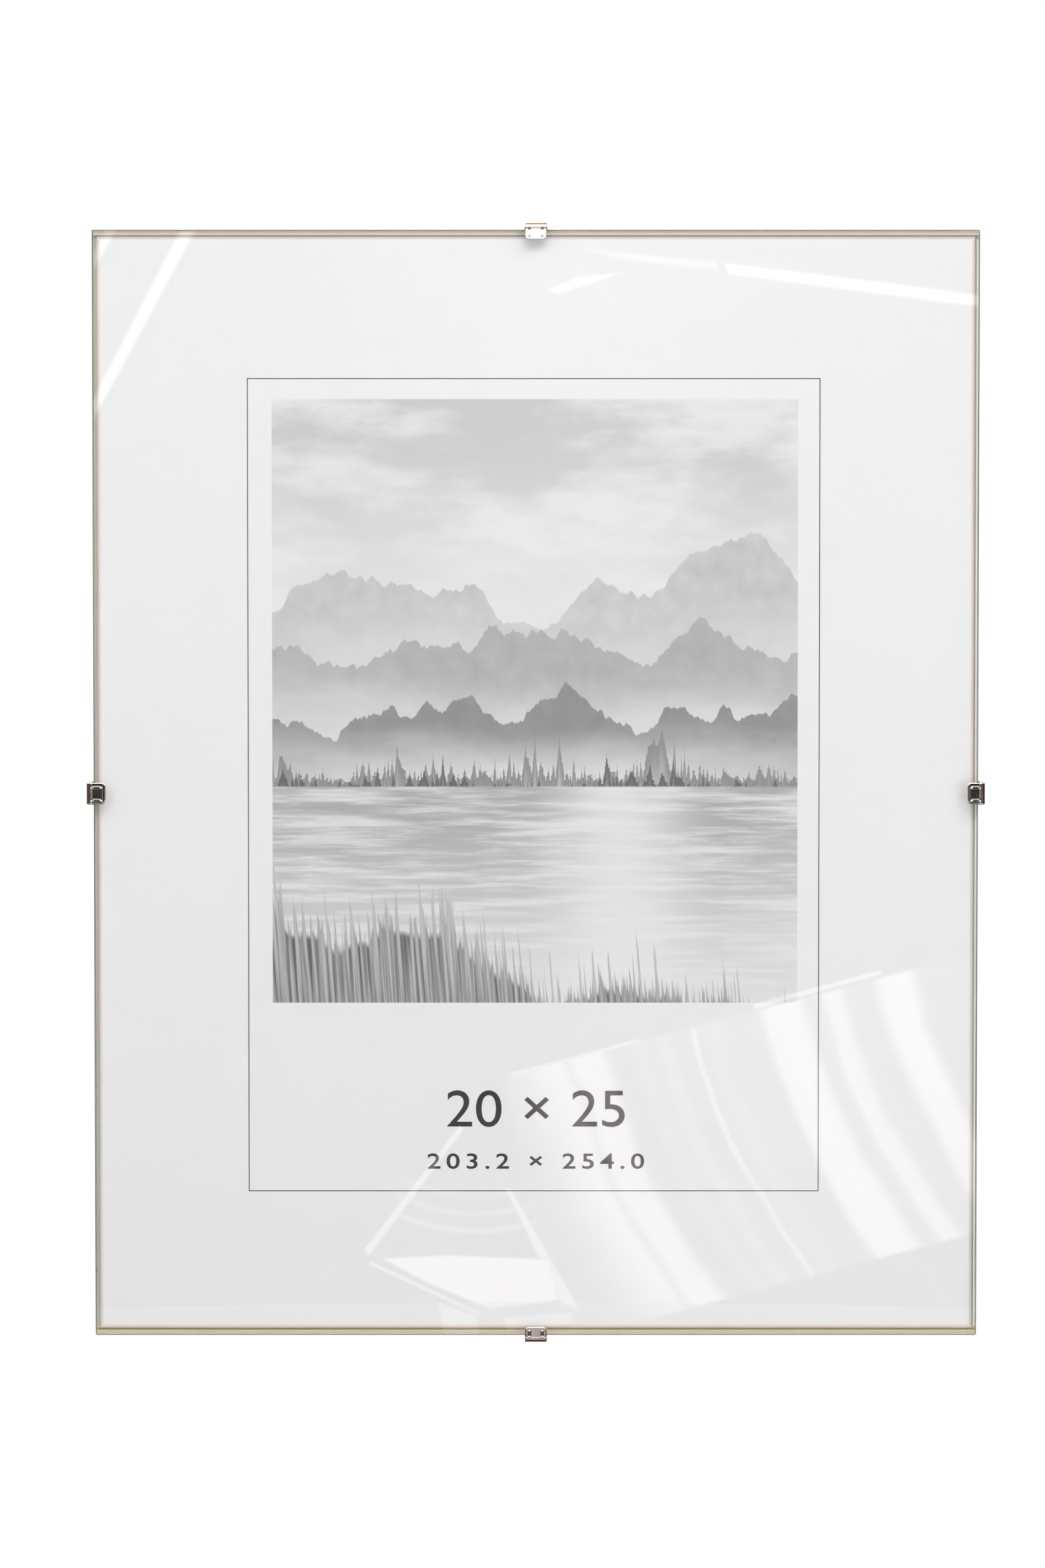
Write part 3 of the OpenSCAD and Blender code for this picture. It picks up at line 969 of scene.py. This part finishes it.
# %% Turn a rivet
RIVET_R = 1.5
HEAD_R = 2.75
HEAD_T = 0.9
TAIL = 1.1
TAIL_BREAK = 0.12
HEAD_BREAK = (0.08, 0.05)
DOME_RINGS = 7

board_t = -board_low.y / MM
dome_r = (HEAD_T ** 2 + HEAD_R ** 2) / (2 * HEAD_T)
dome_half = math.asin(HEAD_R / dome_r)
rings = [
    (-board_t + TAIL_BREAK, RIVET_R + TAIL), (-board_t + TAIL, RIVET_R), (PLATE_T, RIVET_R),
    (PLATE_T, HEAD_R - HEAD_BREAK[0]), (PLATE_T + HEAD_BREAK[1], HEAD_R)]
for step in range(1, DOME_RINGS):
    angle = dome_half * (1 - step / DOME_RINGS)
    rings.append((PLATE_T + HEAD_T - dome_r * (1 - math.cos(angle)), dome_r * math.sin(angle)))

ring_y = -board_t
ring_r = RIVET_R + TAIL - TAIL_BREAK
nothing_selected()
bpy.ops.mesh.primitive_circle_add(
    vertices=40, radius=ring_r * MM, fill_type="NGON",
    location=(0, ring_y * MM, 0), rotation=(math.pi / 2, 0, 0))
rivet = bpy.context.object
apply_place(rivet)
bpy.ops.object.mode_set(mode="EDIT")
bpy.ops.mesh.select_all(action="SELECT")
for next_y, next_r in rings:
    wider = next_r / ring_r
    bpy.ops.mesh.extrude_region_move(TRANSFORM_OT_translate={"value": (0, (next_y - ring_y) * MM, 0)})
    bpy.ops.transform.resize(value=(wider, 1, wider), center_override=(0, next_y * MM, 0))
    ring_y = next_y
    ring_r = next_r
bpy.ops.object.mode_set(mode="OBJECT")
face_outwards(rivet)
bpy.ops.object.shade_smooth_by_angle(angle=HARD_EDGE)
print("rivet in mm:", [round(length / MM, 2) for length in rivet.dimensions])

# %% [markdown]
# Zinc plating is a dull silver with a faint yellow and blue bloom, and it shows fine scratches.
# The rivets are plain aluminium, satin from tumbling, with a few dents.

# %% Finish the plates and rivets
SCRATCH_DEEP = 0.01 * MM
DENT_DEEP = 0.03 * MM

zinc = new_material("zinc_plate")
tree = zinc.node_tree
bloom = noise(panel_place(tree), 0.11, 4.0)
scratches = noise(panel_place(tree, (0.35, 1, 9.0)), 2.0, 5.0, 0.7)
silver = mix_colour(ramp_up(bloom, 0.35, 0.65), (0.60, 0.61, 0.63), (0.70, 0.66, 0.52))
silver = mix_colour(ramp_up(scratches, 0.45, 0.7, 0.0, 0.5), silver, (0.82, 0.82, 0.80))
scuffed = ramp_up(scratches, 0.3, 0.7, 0.26, 0.46)
set_finish(zinc, silver, scuffed, bump(scratches, SCRATCH_DEEP))
principled(zinc).inputs["Metallic"].default_value = 1

aluminium = new_material("satin_aluminium")
tree = aluminium.node_tree
dents = noise(panel_place(tree), 1.8, 5.0, 0.6)
satin_grey = mix_colour(dents, (0.66, 0.66, 0.67), (0.86, 0.86, 0.86))
set_finish(aluminium, satin_grey, ramp_up(dents, 0.3, 0.7, 0.24, 0.42), bump(dents, DENT_DEEP))
principled(aluminium).inputs["Metallic"].default_value = 1

# %% [markdown]
# Every plate and rivet is a copy of the one made above. The landscape plate is the portrait one
# turned by a quarter, and its place comes from the record's second mount.

# %% Put the plates and rivets on the board
landscape_x = frame["record"]["mounts"][1]["pos_m"][0]
hangers = {
    "portrait": (Vector((0, 0, 0)), 0, ("left", "right")),
    "landscape": (Vector((landscape_x, 0, panel_z)), -math.pi / 2, ("lower", "upper")),
}
for way, (place, turn, ends) in hangers.items():
    copy = copy_of(plate)
    put_down(copy, place, turn)
    finish_piece(copy, f"keyhole_plate_{way}", "panel", "zinc_plate", zinc, f"hanger_plate_{way}")
    for side, end in zip((-1, 1), ends):
        in_plate = Vector((side * RIVET_X, 0, RIVET_Z)) * MM
        turned = Vector((
            in_plate.x * math.cos(turn) + in_plate.z * math.sin(turn), 0,
            in_plate.z * math.cos(turn) - in_plate.x * math.sin(turn)))
        copy = copy_of(rivet)
        put_down(copy, place + turned, turn)
        node = f"rivet_{way}_{end}"
        finish_piece(copy, f"{node}_turned", "panel", "rivet_metal", aluminium, node)
bpy.data.objects.remove(plate)
bpy.data.objects.remove(rivet)

# %% [markdown]
# The studio is a white room without corners. Rays from the camera that miss everything see plain
# white, and the soft light of the room is a grey that is brighter above. Bright metal shows nothing
# but its surroundings, so rays that it mirrors see a room of their own, as the clips in the
# photograph do: a dark room with a bright ceiling, a pale table in front, a near wall and a low wall
# straight ahead, dark posts and jambs beside them, and brown and grey behind. Each takes up some of
# the directions, by how far they point sideways, ahead and up.

# %% Helpers for the metal's room
def band(value, low, high, soft):
    """1 while value lies between low and high, and nothing further than soft outside them."""
    return times(ramp_up(value, low - soft, low), ramp_up(value, high + soft, high))


# %% Build the metal's room
DARK_ROOM = (0.06, 0.027, 0.018)
BRIGHT_CEILING = (1.25, 1.2, 1.15)
PEACH_ZENITH = (1.1, 0.80, 0.54)
BROWN_BACK = (0.42, 0.20, 0.09)
GREY_BACK = (0.50, 0.46, 0.42)
PALE_WALL = (1.25, 1.15, 1.02)
PALE_TABLE = (1.5, 1.46, 1.4)
NEAR_WALL = (0.51, 0.41, 0.41)
LOW_WALL = (0.50, 0.39, 0.37)
NEARLY_BLACK = (0.005, 0.005, 0.005)

studio = bpy.data.worlds.new("studio")
bpy.context.scene.world = studio
studio.use_nodes = True
tree = studio.node_tree
direction = add_node(tree, "ShaderNodeTexCoord").outputs["Generated"]
way_x, way_y, way_z = split(direction)
sideways = maths("ABSOLUTE", way_x)
ahead = ramp_up(way_y, -0.25, -0.5)
column = times(ahead, ramp_up(sideways, 0.065, 0.045))

zenith = ramp_up(way_z, 0.78, 0.98)
high_back = times(band(way_y, 0.1, 0.7, 0.15), ramp_up(way_z, 0.3, 0.6))
far_back = ramp_up(way_y, 0.6, 0.9)
above = times(column, ramp_up(way_z, 0.10, 0.16))
wall_share = ramp_up(sideways, 0.06, 0.045, 0.13, 1.0)
near_wall = times(ahead, wall_share, band(way_z, -0.04, 0.10, 0.03))
table = times(ahead, band(way_z, -0.42, -0.07, 0.015))
low_wall = times(column, ramp_up(way_z, -0.18, -0.24))
past_edge = minus(1.0, times(band(way_z, -0.16, -0.09, 0.03), 0.55))
posts = times(band(sideways, 0.05, 0.16, 0.012), ramp_up(way_z, 0.44, 0.36), past_edge)
jambs = times(band(sideways, 0.56, 0.70, 0.03), band(way_z, -0.4, 0.4, 0.1))
stands = times(maths("MAXIMUM", posts, jambs), ahead)

seen_in_metal = mix_colour(ramp_up(way_z, 0.13, 0.27), DARK_ROOM, BRIGHT_CEILING)
for share, colour_there in (
        (zenith, PEACH_ZENITH), (high_back, BROWN_BACK), (far_back, GREY_BACK), (above, PALE_WALL),
        (near_wall, NEAR_WALL), (table, PALE_TABLE), (low_wall, LOW_WALL), (stands, NEARLY_BLACK)):
    seen_in_metal = mix_colour(share, seen_in_metal, colour_there)

# %% Light the room
path = add_node(tree, "ShaderNodeLightPath").outputs
by_metal = times(path["Is Glossy Ray"], minus(1.0, path["Is Singular Ray"]))
room = mix_colour(ramp_up(way_z, -0.5, 0.8), (0.18, 0.16, 0.15), (0.57, 0.58, 0.59))
room = mix_colour(by_metal, room, seen_in_metal)
soft_light = add_node(tree, "ShaderNodeBackground", {"Color": room, "Strength": 1.0})
white = add_node(tree, "ShaderNodeBackground", {"Color": (1, 1, 1, 1), "Strength": 1.0})
set_surface(tree, "World Output", mix_shaders(path["Is Camera Ray"], soft_light, white))


def add_softbox(name, place, width, height, power, in_metal):
    """An area lamp that faces the middle of the panel; in_metal tells if bright metal mirrors it."""
    aim = (front_middle - Vector(place)).to_track_quat("-Z", "Y").to_euler()
    bpy.ops.object.light_add(type="AREA", location=place, rotation=aim)
    lamp = bpy.context.object
    lamp.name = name
    lamp.data.shape = "RECTANGLE"
    lamp.data.size = width
    lamp.data.size_y = height
    lamp.data.energy = power
    lamp.visible_glossy = in_metal


add_softbox("key_softbox", (0.12, -0.5, 0.58), 1.2, 0.2, 4.55, True)
add_softbox("left_softbox", (-1.0, -0.85, 0.1), 0.5, 0.9, 1.12, False)
add_softbox("right_softbox", (0.6, -0.55, -0.25), 0.45, 0.5, 1.5, False)
add_softbox("back_softbox", (-0.5, 1.3, 0.7), 1.0, 0.8, 14, True)

# %% [markdown]
# The floor is plain and pale. It lies well below the hanging frame, where it catches its soft
# shadow, and fades into the white of the room before it reaches the picture's lower edge.

# %% Lay the floor
FLOOR_DROP = 0.36
FLOOR_R = 1.5
FADE_START = 0.25
FADE_END = 0.68

nothing_selected()
bpy.ops.mesh.primitive_circle_add(vertices=96, radius=FLOOR_R, fill_type="NGON",
                                  location=(0, 0, panel_z - FLOOR_DROP))
floor = bpy.context.object
floor.name = "studio_floor"
apply_place(floor)
pale = new_material("pale_floor")
tree = pale.node_tree
floor_place = add_node(tree, "ShaderNodeTexCoord").outputs["Object"]
floor_x, floor_y, floor_z = split(floor_place)
flat_place = joined(floor_x, floor_y, 0.0)
from_middle = add_node(tree, "ShaderNodeVectorMath", {0: flat_place}, operation="LENGTH").outputs["Value"]
grain = noise(floor_place, 60.0)
set_finish(pale, mix_colour(grain, (0.84, 0.84, 0.84), (0.88, 0.88, 0.88)), 0.7)
glow = add_node(tree, "ShaderNodeEmission", {"Color": (1, 1, 1, 1), "Strength": 1.0})
to_camera = add_node(tree, "ShaderNodeLightPath").outputs["Is Camera Ray"]
fade = times(ramp_up(from_middle, FADE_START, FADE_END), to_camera)
set_surface(tree, "Material Output", mix_shaders(fade, principled(pale), glow))
wear_only(floor, pale)
floor.visible_glossy = False

# %% [markdown]
# The glass in the photograph mirrors the room: a skylight as two slanting streaks at the top left
# and one at the top right, and a bright curtain with a chair before it at the lower right. One
# card far behind the camera holds them as patches of light, and only the mirror-sharp rays of the
# glass see it. A patch is given by where it shows on the panel, in millimetres from its middle, and
# the card is as much larger as it is further away.

# %% Helpers for the mirrored room
CARD_DISTANCE = 2.2
CARD_SPARE_W = 1.2
CARD_SPARE_H = 1.3

card_scale = (camera_distance + CARD_DISTANCE) / camera_distance
camera_up = (camera_place.z - panel_z) / MM


def patch(place, corners, soft):
    """1 inside a convex shape whose corners run clockwise as seen, fading over soft at its edges."""
    inside = None
    for (x0, z0), (x1, z1) in zip(corners, corners[1:] + corners[:1]):
        length = math.hypot(x1 - x0, z1 - z0)
        inwards = ((z1 - z0) / length, 0, (x0 - x1) / length)
        along = add_node(place.id_data, "ShaderNodeVectorMath", {0: place, 1: inwards},
                         operation="DOT_PRODUCT")
        depth = minus(along.outputs["Value"], inwards[0] * x0 + inwards[2] * z0)
        inside = depth if inside is None else maths("MINIMUM", inside, depth)
    return ramp_up(inside, 0.0, soft)


# %% Patches of light in the mirrored room
mirrored = new_material("mirrored_room")
tree = mirrored.node_tree
coordinates = add_node(tree, "ShaderNodeTexCoord").outputs["Object"]
centre_z = panel_z + camera_up * MM
place = add_node(tree, "ShaderNodeMapping", {
    "Vector": coordinates,
    "Location": (0, 0, -centre_z / MM / card_scale + camera_up),
    "Scale": [1 / MM / card_scale] * 3}).outputs["Vector"]
card_x, card_y, card_z = split(place)

SKYLIGHT_PATCHES = (
    ([(-80.5, 130), (-75.5, 130), (-100.5, 84), (-104.5, 84)], 1.6, 2.2),
    ([(-97, 130), (-93.5, 130), (-104, 112), (-107, 114)], 1.2, 1.3),
    ([(42.5, 120.2), (63.3, 117.6), (104, 112.9), (104, 108.7), (65.9, 113.6), (43.6, 116.5)], 1.3, 1.9),
    ([(4.8, 124), (42.5, 120.4), (42.5, 117), (20, 119.5)], 1.6, 0.8),
    ([(1, 113.6), (10, 117), (25, 118.2), (13, 114.3), (5, 111.7)], 1.4, 1.2),
)
CHAIR_PATCHES = (
    ([(-17.5, -78), (-16.3, -79.5), (-38.3, -109), (-40.2, -107.6)], 0.6, 1.3),
    ([(-37.0, -109.0), (-20, -108.2), (3.2, -109.2), (5.8, -119.4), (-10.9, -121.4), (-25, -115.5)],
     0.9, 1.9),
    ([(-38.4, -109.6), (-12.9, -121.6), (-12.9, -123), (-38.6, -111)], 0.5, 1.2),
    ([(-23, -119), (-13.5, -122.4), (-11.5, -131), (-21, -131)], 0.8, 1.4),
    ([(-8, -122.6), (8.5, -121.4), (9.5, -124.6), (-7, -126.5)], 0.8, 1.5),
    ([(-8, -92), (-5.5, -93), (11, -122), (5.5, -120)], 0.8, 1.4),
)
SEAT_MIDDLE = (-13.6, 0, -58)
SEAT_ARCS = ((37.0, 0.35), (41.0, 0.45), (45.0, 0.6))
SEAT_AREA = [(-34, -88), (1, -88), (3, -107.5), (-34, -107.5)]
RAIL_PATCHES = (
    ([(-6, -66.2), (24, -58.2), (24, -59.6), (-6, -67.6)], 0.5, 1.1),
    ([(50, -50.2), (80, -42.2), (80, -43.8), (50, -52.2)], 0.6, 1.3),
)

# %% Measures of the curtain
CURTAIN_FOLDS = (
    (-10, 0.10), (-5, 0.32), (1, 0.75), (5, 0.95), (7, 0.55), (9, 0.95), (14, 0.85),
    (16, 0.25), (20, 0.12), (23, 0.30), (26, 0.16), (29, 0.38), (32, 0.14), (34.6, 0.16), (35.6, 0.75),
    (36.6, 0.18), (40, 0.32), (44, 0.14), (50, 0.20), (52, 0.90), (57, 1.0), (60, 0.85), (62, 0.25),
    (64.5, 0.35), (66, 0.85), (69, 0.75), (71, 0.25), (76.5, 0.20), (79, 0.90), (84, 0.95),
    (86.5, 0.25), (90, 0.12),
)
CURTAIN_POWER = 1.9
CURTAIN = [(-8, -66.8), (104, -37.4), (104, -103.4), (25.5, -124.2), (4, -128)]
RAIL_X = -16.7
RAIL_Z = -69.3
RAIL_SLOPE = 0.264
FOLD_LEAN = 0.25
FOLD_CURVE = 0.0028
FOLD_WANDER = 5.0
ARC_HALF = 0.3
ARC_FADE = 1.1

# %% Hang the mirrored room
rail_z = maths("MULTIPLY_ADD", card_x, RAIL_SLOPE, RAIL_Z - RAIL_X * RAIL_SLOPE)
hung = maths("MAXIMUM", minus(rail_z, card_z), 0.0)
lean = times(hung, maths("MULTIPLY_ADD", hung, FOLD_CURVE, FOLD_LEAN))
wander = minus(noise(place, 0.03, 2.0), 0.5)
across_folds = maths("MULTIPLY_ADD", wander, FOLD_WANDER, minus(card_x, lean))
first_fold = CURTAIN_FOLDS[0][0]
fold_span = CURTAIN_FOLDS[-1][0] - first_fold
fold_place = maths("DIVIDE", minus(across_folds, first_fold), fold_span)
folds = colour_stops(fold_place, [
    ((where - first_fold) / fold_span, (level, level, level)) for where, level in CURTAIN_FOLDS])
light = times(folds, times(patch(place, CURTAIN, 1.2), CURTAIN_POWER))
for corners, soft, strength in SKYLIGHT_PATCHES + CHAIR_PATCHES + RAIL_PATCHES:
    light = maths("MAXIMUM", light, times(patch(place, corners, soft), strength))
flat_place = joined(card_x, 0.0, card_z)
from_seat = add_node(tree, "ShaderNodeVectorMath", {0: flat_place, 1: SEAT_MIDDLE}, operation="DISTANCE")
for radius, strength in SEAT_ARCS:
    off_arc = maths("ABSOLUTE", minus(from_seat.outputs["Value"], radius))
    arc = times(ramp_up(off_arc, ARC_FADE, ARC_HALF), patch(place, SEAT_AREA, 2.0))
    light = maths("MAXIMUM", light, times(arc, strength))
is_high = ramp_up(card_z, -20.0, 40.0)
tint = mix_colour(is_high, (1.0, 0.88, 0.91), (0.98, 1.0, 1.0))
shining = add_node(tree, "ShaderNodeEmission", {"Color": tint, "Strength": light})
unseen = add_node(tree, "ShaderNodeBsdfTransparent")
by_glass = add_node(tree, "ShaderNodeLightPath").outputs["Is Singular Ray"]
set_surface(tree, "Material Output", mix_shaders(by_glass, unseen, shining))
mirrored.cycles.emission_sampling = "NONE"

nothing_selected()
bpy.ops.mesh.primitive_plane_add(
    size=1, location=(0, front_middle.y - CARD_DISTANCE, centre_z), rotation=(math.pi / 2, 0, 0))
room_card = bpy.context.object
room_card.scale = (panel_w * CARD_SPARE_W * card_scale, panel_h * CARD_SPARE_H * card_scale, 1)
room_card.name = "mirrored_room"
apply_place(room_card)
wear_only(room_card, mirrored)
room_card.visible_camera = False
room_card.visible_diffuse = False
room_card.visible_shadow = False
